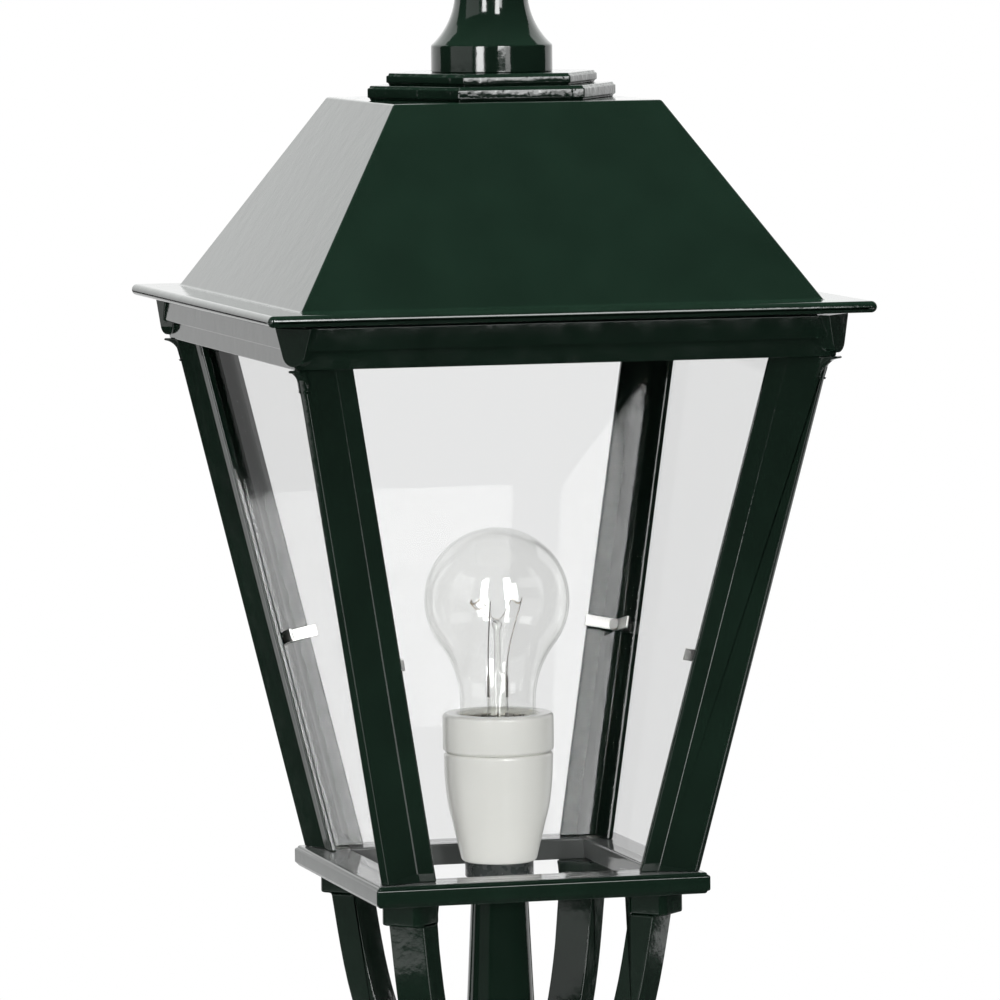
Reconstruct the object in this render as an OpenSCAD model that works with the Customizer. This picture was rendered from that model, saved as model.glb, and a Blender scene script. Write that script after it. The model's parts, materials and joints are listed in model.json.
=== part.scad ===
// Street lamp post: a square tapered lantern on a four-armed frog, carried by a
// turned column on a hexagonal pedestal. Millimetres, +Z up, origin on the ground
// under the centre of the foot plate, lantern front towards -Y.

/* [Overall] */
// Height of the underside of the lantern base frame above the ground
lantern_z = 1300; // [1150:10:1500]
// Height of the hexagonal pedestal with its foot plate
pedestal_top = 330; // [310:5:360]

/* [Lantern] */
// Half width of the lantern base frame
frame_half = 70.4; // [69:0.1:73]
// Thickness of the lantern base frame
frame_h = 8.8; // [8:0.1:11]
// Width of the rails of the base frame
rail_w = 19.4; // [18:0.1:21]
// Half width between the corner bars where they stand on the frame
bar_foot_half = 67.2; // [66:0.1:68]
// Half width between the corner bars under the cornice
bar_top_half = 110.6; // [109:0.1:111]
// Height of the cornice underside above the frame underside
cornice_z = 221.6; // [215:0.1:228]
// Thickness of the glass panes
glass_t = 3; // [2:0.5:3]

/* [Roof] */
// Half width of the eave plate
eave_half = 125.5; // [124:0.5:127]
// Thickness of the eave plate
eave_t = 4.7; // [4:0.1:5.5]
// Half width of the roof slopes where they meet the eave plate
roof_foot_half = 108.3; // [106:0.1:110]
// Half width of the flat top of the roof
roof_top_half = 56.2; // [54:0.1:60]
// Height of the roof slopes above the eave plate
roof_rise = 79.9; // [70:0.1:90]
// Wall thickness of the roof casting
roof_wall = 4; // [3.5:0.5:4.5]

/* [Finial] */
// Corner radius of the lower hexagonal plate
plate_low_r = 53; // [51:0.5:54]
// Corner radius of the upper hexagonal plate
plate_high_r = 45; // [42:0.5:46]
// Radius of the foot ring of the finial
finial_foot_r = 25; // [24:0.5:28]
// Radius of the neck of the finial
finial_neck_r = 14.9; // [13:0.1:16]

/* [Lamp] */
// Radius of the globe of the bulb
globe_r = 30; // [28:0.5:30]
// Height of the centre of the globe above the frame underside
globe_z = 116.6; // [116:0.1:118]
// Outer radius of the porcelain ring of the lamp holder
holder_r = 23; // [22:0.1:24]

/* [Column] */
// Outer radius of the fluted lower shaft at its foot
lower_shaft_r = 44; // [42:0.5:46]
// Number of flutes round the lower shaft
flutes = 12; // [8:1:16]
// Outer radius of the plain upper shaft at its foot
upper_shaft_r = 32; // [30:0.5:34]

/* [Foot] */
// Corner radius of the hexagonal foot plate
foot_r = 150; // [148:1:160]
// Thickness of the foot plate
foot_t = 14; // [12:1:16]
// Corner radius of the hexagonal pedestal
pedestal_r = 100; // [98:1:102]
// Circle on which the three anchor holes lie
anchor_pcd = 250; // [245:1:254]
// Radius of the anchor holes
anchor_hole_r = 6.5; // [5.5:0.5:7]
// Radius of the ground cable entry
cable_entry_r = 30; // [25:1:32]

/* [Hidden] */
$fn = 96;

FLAT = cos(30);                       // half width over the flats of a hexagon with corner radius 1
green = [0.05, 0.16, 0.11];

// corner bars: lean of the panes, lean of the bars and half the angle between two panes
lean = atan((bar_top_half - bar_foot_half) / (cornice_z - frame_h));
bar_lean = atan(tan(lean) * sqrt(2));
corner_angle = (180 - acos(pow(sin(lean), 2))) / 2;
nose_w = 2.1;                         // start of the flank of a corner bar, from the corner
flank_w = 16;                         // end of the flank
flange_w = 23.4;                      // end of the glazing flange
flange_d = 5.5;                       // depth of the flange face behind the pane plane
glass_d = 8.5;                        // depth of the outer face of the glass
glass_edge = 18;                      // from the corner to the edge of the glass
clip_z = 84;                          // height of the corner clips that hold the panes

// cornice, gasket and roof
band_low_half = 112;
band_high_half = 115.5;
band_z = 229.4;
cornice_top = 238.4;
cornice_in_half = 100;
lug_face = 113 * sqrt(2);             // corner lugs end on this plane, along the diagonal
lug_half_w = 8.35;
gasket_t = 1;
eave_z = cornice_top + gasket_t;
roof_z = eave_z + eave_t;
roof_top = roof_z + roof_rise;
lip_half = 97;                        // locating lip under the roof
lip_z = 230;
hinge_y = 120.5;
hinge_z = 235;
hinge_pin_r = 1.5;
knuckle_r = 4.1;
hinge_x = 48;
clamp_z = 233.9;                      // axis of the roof clamping screw

// hexagonal plates and finial
plate_low_t = 6;
plate_high_t = 5;
finial_z = roof_top + plate_low_t + plate_high_t;
stud_r = 4;
cove_r = 30;                          // hollow curve from the foot ring up to the neck
cove_z = 33.5;

// lamp holder and bulb
disc_z = 1.5;                         // underside of the holder disc
holder_z = 8;                         // underside of the porcelain
holder_top = 70;
holder_kink_z = 26;                   // the porcelain tapers straight below this height
ring_z = 51.5;
cap_z = 41.6;                         // tip of the bulb's centre contact
cap_r = 13.1;
neck_r = 15.6;
blend_r = 40;                         // hollow curve between neck and globe
blend_z = globe_z - sqrt(pow(globe_r + blend_r, 2) - pow(neck_r + blend_r, 2));
globe_wall = 0.8;

// frog, conduit and hub
lug_t = 9.3;
screw_sink = 2.4;                     // depth of the countersinks in the frame
arm_w = 16.5;
arm_t = 11.5;
lug_w = 18;
lug_out = 58.3 * sqrt(2);
lug_in = 47 * sqrt(2);
lug_screw_r = 54.5 * sqrt(2);
lug_screw_l = 8.8;                    // reach of the lug screws below the frame
bar_screw_r = 63.5 * sqrt(2);
cornice_screw_r = 104.7 * sqrt(2);
arm_screw_z = -97;
arm_curve = [[77, -lug_t], [70.5, -45], [67, -78], [30, -110]];
hub_r = 34;
hub_top = -84;
hub_bottom = -130;
socket_r = 28;
socket_top = -108;
conduit_foot_r = 15.6;
conduit_top_r = 11.5;

// column, from the ground
column_top = lantern_z + hub_bottom;
neck_ring_z = column_top - 22;
lower_shaft_z = pedestal_top + 24;
lower_shaft_top = 700;
collar_top = lower_shaft_top + 34;
lower_top_r = 38;
upper_top_r = 29;
shaft_wall = 4;

// pedestal and service door
pedestal_wall = 6;
cap_foot = pedestal_top - 28;         // joint between the pedestal and its cap
cap_roof_t = 10;                      // thickness of the cap under the column
face_y = pedestal_r * FLAT;
pedestal_in_r = pedestal_r - pedestal_wall / FLAT;
foot_bolt_r = 68;                     // circle of the bolts that hold the pedestal on its plate
door_w = 72;
door_z = 74;
door_h = 190;
door_gap = 1;
door_t = 6;
door_pin_x = -door_w / 2 - 5;
door_pin_y = -face_y - 4.5;
door_pin_r = 2;
door_knuckle_r = 4.2;
door_knuckle_h = 16;
latch_z = door_z + door_h / 2;
latch_x = door_w / 2 - 12;
rail_y = 30;                          // front face of the mounting rail in the pedestal
box_z = 110;                          // underside of the fuse box
box_h = 110;
box_half = 27;

corners = [["front_left", 225], ["front_right", 315], ["back_right", 45], ["back_left", 135]];
sides = [["front", 0], ["right", 90], ["back", 180], ["left", 270]];

// ---------- shared shapes ----------

module in_lantern() { translate([0, 0, lantern_z]) children(); }

module at_corners() { for (c = corners) rotate(c[1]) children(); }

// a hexagonal prism with two flats facing front and back
module hex_prism(r, h) { cylinder(r = r, h = h, $fn = 6); }

// a square slab between two heights, given by its half width
module slab(half, z0, z1) { translate([-half, -half, z0]) cube([2 * half, 2 * half, z1 - z0]); }

// a square pyramid stump: half width foot at z0, half width top at z1
module stump(foot, top, z0, z1) {
    side = [[-foot, z0], [foot, z0], [top, z1], [-top, z1]];
    intersection() {
        rotate([90, 0, 0]) linear_extrude(2 * foot + 2, center = true) polygon(side);
        rotate([90, 0, 90]) linear_extrude(2 * foot + 2, center = true) polygon(side);
    }
}

// a tube standing on z = 0
module tube(r_out, r_in, h) {
    difference() {
        cylinder(r = r_out, h = h);
        translate([0, 0, -1]) cylinder(r = r_in, h = h + 2);
    }
}

// a hexagon-headed bolt, head below z = 0 and shank above
module hex_bolt(r, length, head_r, head_h) {
    translate([0, 0, -head_h]) hex_prism(head_r, head_h);
    cylinder(r = r, h = length);
}

// ---------- foot and pedestal ----------

module foot_plate() {
    color(green) difference() {
        union() {
            hex_prism(foot_r, foot_t - 4);
            hex_prism(foot_r - 5, foot_t);
        }
        translate([0, 0, -1]) cylinder(r = cable_entry_r, h = foot_t + 2);
        for (a = [0, 120, 240]) rotate(a) translate([anchor_pcd / 2, 0, -1])
            cylinder(r = anchor_hole_r, h = foot_t + 2);
        for (a = [30:60:330]) rotate(a) translate([foot_bolt_r, 0, foot_t - 8]) cylinder(r = 4, h = 10);
    }
}

module pedestal_shell() {
    difference() {
        union() {
            translate([0, 0, foot_t]) hex_prism(pedestal_r + 10, 14);
            translate([0, 0, foot_t + 14]) hex_prism(pedestal_r + 7, 8);
            translate([0, 0, foot_t + 22]) hex_prism(pedestal_r + 3.5, 6);
            translate([0, 0, foot_t]) hex_prism(pedestal_r, cap_foot - foot_t);
        }
        translate([0, 0, foot_t - 1]) hex_prism(pedestal_in_r, cap_foot - foot_t + 2);
    }
    // inside feet that take the bolts from the foot plate
    for (a = [30:60:330]) rotate(a) difference() {
        translate([58, -10, foot_t]) cube([24, 20, 10]);
        translate([foot_bolt_r, 0, foot_t - 1]) cylinder(r = 4.5, h = 14);
    }
}

module pedestal_cap() {
    color(green) difference() {
        union() {
            translate([0, 0, cap_foot]) hex_prism(pedestal_r + 4, 6);
            translate([0, 0, cap_foot]) hex_prism(pedestal_r, pedestal_top - cap_foot);
            translate([0, 0, pedestal_top - 18]) hex_prism(pedestal_r + 8, 12);
            translate([0, 0, cap_foot - 8]) hex_prism(pedestal_in_r - 0.4, 12);
        }
        translate([0, 0, cap_foot - 9])
            hex_prism(pedestal_in_r - 6, pedestal_top - cap_roof_t - cap_foot + 9);
        translate([0, 0, pedestal_top - cap_roof_t - 1]) cylinder(r = 30, h = cap_roof_t + 2);
        for (a = [0, 120, 240]) rotate(a) translate([0, 40, pedestal_top - cap_roof_t - 1])
            cylinder(r = 4, h = cap_roof_t + 2);
    }
}

module pedestal() {
    color(green) difference() {
        union() {
            pedestal_shell();
            for (z = [door_z + 24, door_z + door_h - 24 - door_knuckle_h])
                translate([0, 0, z]) door_knuckle();
        }
        translate([-door_w / 2 - door_gap, -face_y - 20, door_z - door_gap])
            cube([door_w + 2 * door_gap, 40, door_h + 2 * door_gap]);
        for (z = [door_z + 24, door_z + door_h - 24 - door_knuckle_h])
            translate([door_pin_x, door_pin_y, z - 1]) cylinder(r = door_pin_r, h = door_knuckle_h + 2);
    }
}

// an eye round the door pin with a web back to the pedestal face
module door_knuckle() {
    translate([door_pin_x, door_pin_y, 0]) {
        cylinder(r = door_knuckle_r, h = door_knuckle_h);
        translate([-5, 0, 0]) cube([5, 6, door_knuckle_h]);
    }
}

module pedestal_bolts() {
    color("silver") for (a = [30:60:330]) rotate(a)
        translate([foot_bolt_r, 0, foot_t + 10]) mirror([0, 0, 1]) hex_bolt(4, 18, 7.5, 5.3);
}

module service_door() {
    leaf_z = [door_z + 24 + door_knuckle_h + 0.4, door_z + door_h - 24 - 2 * door_knuckle_h - 0.4];
    color(green) difference() {
        union() {
            translate([-door_w / 2, -face_y, door_z]) cube([door_w, door_t, door_h]);
            translate([-door_w / 2 + 10, -face_y - 2, door_z + 12]) cube([door_w - 20, 4, door_h - 24]);
            for (z = leaf_z) translate([door_pin_x, door_pin_y, z]) {
                cylinder(r = door_knuckle_r, h = door_knuckle_h);
                cube([13, door_knuckle_r, door_knuckle_h]);
            }
        }
        for (z = leaf_z) translate([door_pin_x, door_pin_y, z - 1])
            cylinder(r = door_pin_r + 0.05, h = door_knuckle_h + 2);
        translate([latch_x, -face_y - 3, latch_z]) rotate([-90, 0, 0])
            cylinder(r = 5.05, h = door_t + 6);
    }
}

module door_hinge_pins() {
    color("silver") for (z = [door_z + 22, door_z + door_h - 24 - 2 * door_knuckle_h - 1])
        translate([door_pin_x, door_pin_y, z]) cylinder(r = door_pin_r, h = 2 * door_knuckle_h + 3);
}

// three-cornered key latch with a tongue behind the door
module door_latch() {
    color("silver") translate([latch_x, -face_y, latch_z]) rotate([-90, 0, 0]) difference() {
        union() {
            translate([0, 0, -5]) cylinder(r = 8, h = 2.9);
            translate([0, 0, -3]) cylinder(r = 5, h = 16);
            translate([-6, -20, 8]) cube([12, 26, 3]);
        }
        translate([0, 0, -6]) cylinder(r = 3.5, h = 4, $fn = 3);
    }
}

// ---------- service chamber ----------

module mounting_rail() {
    color("silver") difference() {
        union() {
            translate([-20, rail_y, 60]) cube([40, 3, 210]);
            translate([-20, rail_y, 60]) cube([3, face_y - pedestal_wall - rail_y, 210]);
            translate([17, rail_y, 60]) cube([3, face_y - pedestal_wall - rail_y, 210]);
        }
        for (z = [80, 250]) translate([0, rail_y - 1, z]) rotate([-90, 0, 0]) cylinder(r = 3, h = 5);
    }
}

module fuse_box() {
    color("dimgray") translate([0, 0, box_z]) difference() {
        translate([-box_half, rail_y - 30, 0]) cube([2 * box_half, 30, box_h]);
        difference() {
            translate([-box_half + 3, rail_y - 31, 3]) cube([2 * box_half - 6, 26, box_h - 6]);
            at_box_screws() translate([-5, 0, -5]) cube([10, 40, 10]);
        }
        at_box_screws() rotate([-90, 0, 0]) cylinder(r = 1.6, h = 8);
        for (x = [-12, 12]) translate([x, rail_y - 14, -1]) cylinder(r = 6, h = 6);
        translate([0, rail_y - 14, box_h - 4]) cylinder(r = 6, h = 6);
    }
    // terminal block and fuse holder on the back of the box
    color("ivory") translate([-12, rail_y - 17, box_z + 14]) cube([24, 12.5, 22]);
    color("ivory") translate([-12, rail_y - 19, box_z + 46]) cube([24, 14.5, 48]);
}

// the four screw places at the front face of the fuse box
module at_box_screws() {
    for (x = [-1, 1], z = [8, box_h - 8]) translate([x * (box_half - 8), rail_y - 30, z]) children();
}

module fuse_box_cover() {
    color("gray") translate([0, 0, box_z]) difference() {
        union() {
            translate([-box_half, rail_y - 34, 0]) cube([2 * box_half, 4, box_h]);
            translate([-box_half + 10, rail_y - 35.5, 18]) cube([2 * box_half - 20, 2, box_h - 36]);
        }
        at_box_screws() translate([0, -5, 0]) rotate([-90, 0, 0]) cylinder(r = 1.6, h = 6);
    }
}

module fuse_box_screws() {
    color("silver") translate([0, 0, box_z]) at_box_screws() translate([0, -6.4, 0]) rotate([-90, 0, 0]) {
        cylinder(r = 2.8, h = 2.4);
        cylinder(r = 1.6, h = 13);
    }
}

module earth_bolt() {
    color("goldenrod") translate([34, face_y - pedestal_wall, 90]) rotate([90, 0, 0]) {
        cylinder(r = 4, h = 22);
        hex_prism(8, 5);
        translate([0, 0, 12]) cylinder(r = 9, h = 1.6);
        translate([0, 0, 13.6]) hex_prism(7.5, 5);
    }
}

// ---------- column ----------

module column_foot() {
    color(green) translate([0, 0, pedestal_top]) difference() {
        rotate_extrude() difference() {
            union() {
                square([64, 6]);
                translate([0, 6]) square([52, 18]);
                translate([58, 6]) circle(r = 5);
                translate([50, 16]) circle(r = 8);
                square([58, 11]);
            }
            translate([-80, -20]) square([160, 20]);
            translate([-80, 24]) square([160, 20]);
            translate([-80, -1]) square([80, 60]);
        }
        translate([0, 0, -1]) cylinder(r = 26, h = 40);
        translate([0, 0, 14]) cylinder(r = lower_shaft_r - 6, h = 40);
        for (a = [0, 120, 240]) rotate(a) translate([0, 40, -1]) cylinder(r = 3, h = 13);
    }
}

module column_foot_bolts() {
    color("silver") for (a = [0, 120, 240]) rotate(a) translate([0, 40, pedestal_top - cap_roof_t])
        hex_bolt(3, cap_roof_t + 11.9, 6, 4.2);
}

module lower_shaft() {
    h = lower_shaft_top - lower_shaft_z;
    draft = atan((lower_shaft_r - lower_top_r) / h);
    color(green) translate([0, 0, lower_shaft_z]) difference() {
        union() {
            cylinder(r1 = lower_shaft_r, r2 = lower_top_r, h = h);
            translate([0, 0, -10]) cylinder(r = lower_shaft_r - 6, h = 12);
        }
        translate([0, 0, -11]) cylinder(r = lower_top_r - shaft_wall - 4, h = h + 20);
        for (k = [0:flutes - 1]) rotate(k * 360 / flutes) translate([lower_shaft_r + 3, 0, 0])
            rotate([0, -draft, 0]) {
                translate([0, 0, 22]) cylinder(r = 6, h = h - 44);
                translate([0, 0, 22]) sphere(r = 6);
                translate([0, 0, h - 22]) sphere(r = 6);
            }
    }
}

module shaft_collar() {
    color(green) translate([0, 0, lower_shaft_top]) difference() {
        rotate_extrude() difference() {
            union() {
                square([42, 34]);
                translate([41, 8]) circle(r = 8);
                translate([39, 22]) circle(r = 5);
            }
            translate([-80, -20]) square([160, 20]);
            translate([-80, -1]) square([80, 60]);
            translate([upper_shaft_r + 14, 34]) circle(r = 9);
        }
        translate([0, 0, -1]) cylinder(r = 22, h = 40);
        translate([0, 0, 20]) cylinder(r = upper_shaft_r - 3, h = 20);
    }
    color(green) translate([0, 0, lower_shaft_top - 16]) difference() {
        cylinder(r = lower_top_r - shaft_wall - 4, h = 16.5);
        translate([0, 0, -1]) cylinder(r = 22, h = 20);
    }
}

module upper_shaft() {
    h = column_top - collar_top;
    color(green) translate([0, 0, collar_top]) difference() {
        union() {
            cylinder(r1 = upper_shaft_r, r2 = upper_top_r, h = h - 22);
            translate([0, 0, -14]) cylinder(r = upper_shaft_r - 3, h = 16);
            translate([0, 0, h - 22]) cylinder(r = upper_top_r - 1, h = 22 - hub_bottom + socket_top);
        }
        translate([0, 0, -15]) cylinder(r = upper_top_r - 1 - shaft_wall, h = h + 60);
    }
}

module neck_ring() {
    color(green) translate([0, 0, neck_ring_z]) difference() {
        rotate_extrude() difference() {
            union() {
                square([34, 22]);
                translate([33, 7]) circle(r = 6);
                translate([32, 17]) circle(r = 4);
            }
            translate([-80, -20]) square([160, 20]);
            translate([-80, -1]) square([80, 60]);
        }
        translate([0, 0, -1]) cylinder(r = upper_top_r - 1, h = 30);
    }
}

// ---------- frog ----------

module frog_hub() {
    color(green) in_lantern() difference() {
        union() {
            translate([0, 0, hub_bottom]) cylinder(r = hub_r, h = hub_top - hub_bottom - 6);
            translate([0, 0, hub_bottom]) cylinder(r = hub_r + 4, h = 8);
            translate([0, 0, hub_top - 6]) cylinder(r1 = hub_r, r2 = hub_r - 6, h = 6);
        }
        translate([0, 0, hub_bottom - 1]) cylinder(r = socket_r, h = socket_top - hub_bottom + 1);
        translate([0, 0, socket_top - 1]) cylinder(r = 25, h = 20);
        translate([0, 0, hub_top - 10]) cylinder(r = 7, h = 20);
        for (a = [0, 120, 240]) rotate(a + 90) translate([20, 0, hub_bottom + 14])
            rotate([0, 90, 0]) cylinder(r = 3, h = 20);
        at_corners() translate([24, 0, arm_screw_z]) rotate([0, 90, 0]) cylinder(r = 2.5, h = 20);
    }
}

module hub_set_screws() {
    color("silver") in_lantern() for (a = [0, 120, 240]) rotate(a + 90)
        translate([socket_r, 0, hub_bottom + 14]) rotate([0, 90, 0]) difference() {
            cylinder(r = 3, h = 7);
            translate([0, 0, 4]) cylinder(r = 1.6, h = 4, $fn = 6);
        }
}

// a point on a cubic curve through its four control points
function on_curve(p, t) = pow(1 - t, 3) * p[0] + 3 * t * pow(1 - t, 2) * p[1]
    + 3 * t * t * (1 - t) * p[2] + pow(t, 3) * p[3];
function along(p, t) = 3 * pow(1 - t, 2) * (p[1] - p[0]) + 6 * t * (1 - t) * (p[2] - p[1])
    + 3 * t * t * (p[3] - p[2]);
function left_of(d) = [-d[1], d[0]] / norm(d);

module frog_arm(angle) {
    steps = 14;
    outside = [for (k = [0:steps]) on_curve(arm_curve, k / steps)];
    inside = [for (k = [steps:-1:0])
        on_curve(arm_curve, k / steps) - arm_t * left_of(along(arm_curve, k / steps))];
    color(green) in_lantern() rotate(angle) difference() {
        union() {
            rotate([90, 0, 0]) linear_extrude(arm_w, center = true)
                polygon(concat([[77, 0]], outside, inside, [[lug_in - 4, 0]]));
            translate([lug_in, -lug_w / 2, -lug_t]) cube([lug_out - lug_in - 3, lug_w, lug_t]);
            translate([lug_in, -lug_w / 2 + 3, -lug_t]) cube([lug_out - lug_in, lug_w - 6, lug_t]);
            for (y = [-1, 1]) translate([lug_out - 3, y * (lug_w / 2 - 3), -lug_t])
                cylinder(r = 3, h = lug_t);
        }
        translate([0, 0, hub_bottom]) cylinder(r = hub_r, h = hub_top - hub_bottom);
        translate([lug_screw_r, 0, -lug_screw_l]) cylinder(r = 2.5, h = lug_screw_l + 2);
        translate([hub_r - 1, 0, arm_screw_z]) rotate([0, 90, 0]) cylinder(r = 2.5, h = 8);
    }
}

module frog_arm_front_left() { frog_arm(225); }
module frog_arm_front_right() { frog_arm(315); }
module frog_arm_back_right() { frog_arm(45); }
module frog_arm_back_left() { frog_arm(135); }

module arm_screws() {
    color("silver") in_lantern() at_corners() translate([24.5, 0, arm_screw_z]) rotate([0, 90, 0]) {
        cylinder(r = 2.5, h = 15.9);
        translate([0, 0, -3]) cylinder(r = 4.5, h = 3);
    }
}

module conduit() {
    h = disc_z - hub_top;
    color(green) in_lantern() translate([0, 0, hub_top]) difference() {
        union() {
            cylinder(r1 = conduit_foot_r, r2 = conduit_top_r, h = h);
            cylinder(r = conduit_foot_r + 5, h = 4);
            translate([0, 0, -10]) cylinder(r = 7, h = 11);
        }
        translate([0, 0, -11]) cylinder(r = 5, h = h + 20);
    }
}

// ---------- lantern body ----------

module lantern_frame() {
    rim = 1.2;
    color(green) in_lantern() difference() {
        union() {
            slab(frame_half, rim, frame_h - rim);
            slab(frame_half - rim, 0, frame_h);
        }
        slab(frame_half - rail_w, -1, frame_h + 1);
        at_corners() translate([lug_screw_r, 0, -1]) cylinder(r = 2.6, h = 12);
        at_corners() translate([lug_screw_r, 0, frame_h - screw_sink])
            cylinder(r1 = 2.6, r2 = 4.8, h = screw_sink + 0.01);
        at_corners() translate([bar_screw_r, 0, -1]) cylinder(r = 2.2, h = 12);
        at_corners() translate([bar_screw_r, 0, -1]) cylinder(r = 4, h = 4);
    }
}

// countersunk screws from the frame down into the lugs
module lug_screws() {
    color("silver") in_lantern() at_corners() translate([lug_screw_r, 0, 0]) difference() {
        union() {
            translate([0, 0, 0.1 - lug_screw_l]) cylinder(r = 2.5, h = lug_screw_l + frame_h - 0.3);
            translate([0, 0, frame_h - screw_sink]) cylinder(r1 = 2.5, r2 = 4.6, h = screw_sink - 0.1);
        }
        translate([0, 0, frame_h - 1.6]) hex_prism(1.7, 3);
    }
}

module bar_foot_screws() {
    color("silver") in_lantern() at_corners() translate([bar_screw_r, 0, 0]) {
        cylinder(r = 3.9, h = 3);
        cylinder(r = 2, h = 20);
    }
}

// a point of the bar section: along the pane from the corner, and in behind it
function on_pane(u, v) = [-u * cos(corner_angle) - v * sin(corner_angle),
                          u * sin(corner_angle) - v * cos(corner_angle)];
function flipped(points) = [for (k = [len(points) - 1:-1:0]) [points[k][0], -points[k][1]]];

module corner_bar(angle) {
    half = [on_pane(nose_w, 0), on_pane(flank_w, flange_d), on_pane(flange_w, flange_d),
            on_pane(flange_w, glass_d)];
    color(green) in_lantern() rotate(angle) difference() {
        intersection() {
            union() {
                in_bar(-20) linear_extrude(270)
                    polygon(concat(half, [[-glass_d / sin(corner_angle), 0]], flipped(half)));
                bar_flare();
            }
            slab(200, frame_h, cornice_z);
        }
        in_bar(clip_z) translate([-14, 0, 2.5]) rotate([0, 90, 0]) cylinder(r = 1.5, h = 7);
        translate([bar_screw_r, 0, 0]) cylinder(r = 2, h = 20);
        translate([cornice_screw_r, 0, cornice_z - 12]) cylinder(r = 2, h = 20);
    }
}

// the leaning frame of a corner bar, from a place along its nose
module in_bar(along) {
    translate([bar_foot_half * sqrt(2), 0, frame_h]) rotate([0, bar_lean, 0])
        translate([0, 0, along]) children();
}

// the hollow curve by which the nose of a bar runs out to the corner lug
module bar_flare() {
    r = 9;
    translate([lug_face, 0, cornice_z - r]) rotate([90, 0, 0]) linear_extrude(5, center = true)
        difference() {
            translate([-14, 0]) square([14, r]);
            circle(r = r - 1);
        }
}

module corner_bar_front_left() { corner_bar(225); }
module corner_bar_front_right() { corner_bar(315); }
module corner_bar_back_right() { corner_bar(45); }
module corner_bar_back_left() { corner_bar(135); }

// half width of the open corner line at a height above the frame underside
function bar_half(z) = bar_foot_half + (z - frame_h) * tan(lean);

module glass_pane(angle) {
    z0 = frame_h + 0.8;
    z1 = cornice_z - 0.2;
    y0 = bar_half(z0) - (glass_d + glass_t) / cos(lean);
    foot = bar_half(z0) - glass_edge;
    top = bar_half(z1) - glass_edge;
    color([0.8, 0.9, 0.9, 0.35]) in_lantern() rotate(angle) translate([0, -y0, z0])
        rotate([90 + lean, 0, 0]) linear_extrude(glass_t)
            polygon([[-foot, 0], [foot, 0], [top, (z1 - z0) / cos(lean)],
                     [-top, (z1 - z0) / cos(lean)]]);
}

module glass_front() { glass_pane(0); }
module glass_right() { glass_pane(90); }
module glass_back() { glass_pane(180); }
module glass_left() { glass_pane(270); }

// angle clips across the inner corner of two panes, screwed to the corner bars
module glass_clips() {
    inner = glass_d + glass_t;
    reach = flange_w + 2.4;
    wing = [on_pane(reach, inner + 1), on_pane(reach, inner + 0.05)];
    color("silver") in_lantern() at_corners() in_bar(clip_z) {
        linear_extrude(5) polygon(concat(wing, [[-(inner + 0.05) / sin(corner_angle), 0]],
            flipped(wing), [[-(inner + 1) / sin(corner_angle), 0]]));
        translate([-18, 0, 2.5]) rotate([0, 90, 0]) cylinder(r = 1.5, h = 11);
        translate([-19.5, 0, 2.5]) rotate([0, 90, 0]) cylinder(r = 2.4, h = 2);
    }
}

module cornice() {
    tip_r = 5.2;
    tip_z = 223 + tip_r;
    rise = cornice_top - tip_z;
    touch = atan2(rise, lug_half_w) - acos(tip_r / norm([rise, lug_half_w]));
    tip = [for (k = [0:16]) let (a = touch - k / 16 * (180 + 2 * touch)) tip_r * [cos(a), sin(a)]];
    color(green) in_lantern() difference() {
        union() {
            slab(band_low_half, cornice_z, band_z + 1);
            intersection() {
                slab(band_high_half, band_z, cornice_top);
                rotate(45) slab(lug_face - 2, band_z, cornice_top);
            }
            at_corners() translate([140, 0, tip_z]) rotate([90, 0, 90]) linear_extrude(lug_face - 140)
                polygon(concat([[-lug_half_w, rise], [lug_half_w, rise]], tip));
            for (s = [-1, 1], x = [-8.2, 8.2]) translate([s * hinge_x + x, 0, 0]) hinge_eye(-1);
        }
        slab(cornice_in_half, cornice_z - 1, cornice_top + 1);
        translate([-80, hinge_y, hinge_z]) rotate([0, 90, 0]) cylinder(r = hinge_pin_r, h = 160);
        translate([90, 0, clamp_z]) rotate([0, 90, 0]) cylinder(r = 2.55, h = 30);
        at_corners() translate([cornice_screw_r, 0, cornice_z - 1]) cylinder(r = 2.2, h = 30);
        at_corners() translate([cornice_screw_r, 0, cornice_top - 4]) cylinder(r = 4, h = 10);
    }
}

// one eye of the roof hinge, with a web back to the cornice (-1) or up to the eave (1)
module hinge_eye(web) {
    w = 7.6;
    translate([-w / 2, hinge_y, hinge_z]) {
        rotate([0, 90, 0]) cylinder(r = knuckle_r, h = w);
        if (web < 0) translate([0, band_high_half - hinge_y - 1, -knuckle_r])
            cube([w, hinge_y - band_high_half + 1, 2 * knuckle_r]);
        else translate([0, -knuckle_r, 0]) cube([w, 2 * knuckle_r, eave_z - hinge_z + 1]);
    }
}

module cornice_screws() {
    color("silver") in_lantern() at_corners() translate([cornice_screw_r, 0, cornice_top - 4]) {
        cylinder(r = 3.9, h = 3);
        translate([0, 0, -22]) cylinder(r = 2, h = 22);
    }
}

module roof_gasket() {
    color("black") in_lantern() difference() {
        slab(106, cornice_top, eave_z);
        slab(101, cornice_top - 1, eave_z + 1);
    }
}

module roof_hinge_pins() {
    color("silver") in_lantern() for (s = [-1, 1])
        translate([s * hinge_x - 13, hinge_y, hinge_z]) rotate([0, 90, 0])
            cylinder(r = hinge_pin_r, h = 26);
}

// knurled screw through the cornice that pinches the lip of the roof
module roof_clamp_screw() {
    color("goldenrod") in_lantern() translate([lip_half + 0.3, 0, clamp_z]) rotate([0, 90, 0]) {
        cylinder(r = 2.5, h = 20);
        translate([0, 0, band_high_half - lip_half]) difference() {
            cylinder(r = 4.3, h = 8);
            for (k = [0:11]) rotate(k * 30) translate([4.8, 0, 1]) cylinder(r = 0.9, h = 6);
        }
    }
}

// ---------- roof and finial ----------

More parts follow.
